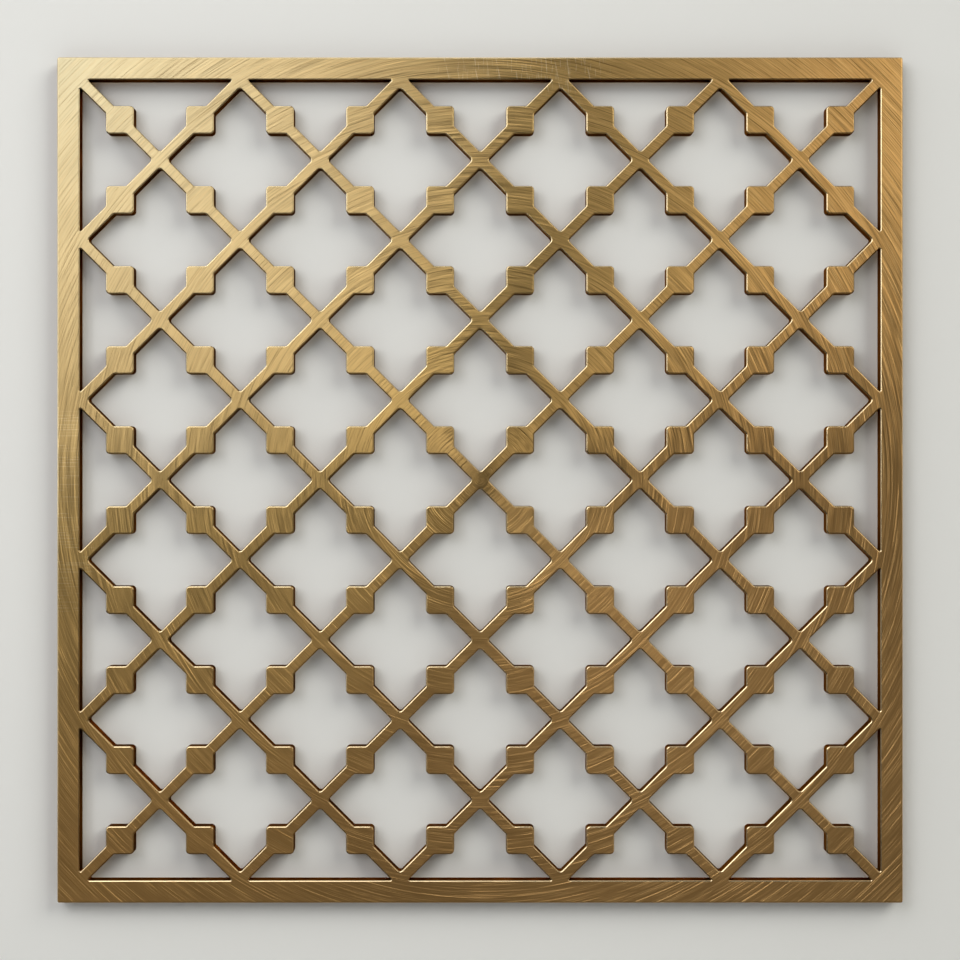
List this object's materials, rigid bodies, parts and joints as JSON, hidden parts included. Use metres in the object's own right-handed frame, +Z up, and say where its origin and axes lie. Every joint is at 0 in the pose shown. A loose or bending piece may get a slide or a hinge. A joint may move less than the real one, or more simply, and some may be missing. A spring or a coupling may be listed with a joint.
{
  "type": "metal grille",
  "caption": "Square brass grille: a flat plate cut through to leave a diagonal lattice with square beads inside a plain border, to cover a wall vent or opening.",
  "frame": {"origin": "centre of the flat back face, on the lattice's middle crossing, where the grille meets the wall or frame that holds it", "axes": "+Z up the panel, +X to the right of someone who faces its front, +Y out of its back; the front looks along -Y"},
  "size_m": [0.45, 0.008, 0.45],
  "materials": {
    "brushed_brass": "brushed in circles about the panel's centre, clear satin, edges burnished"
  },
  "bodies": {
    "root": {"grille_plate": "brushed_brass"}
  },
  "joints": []
}
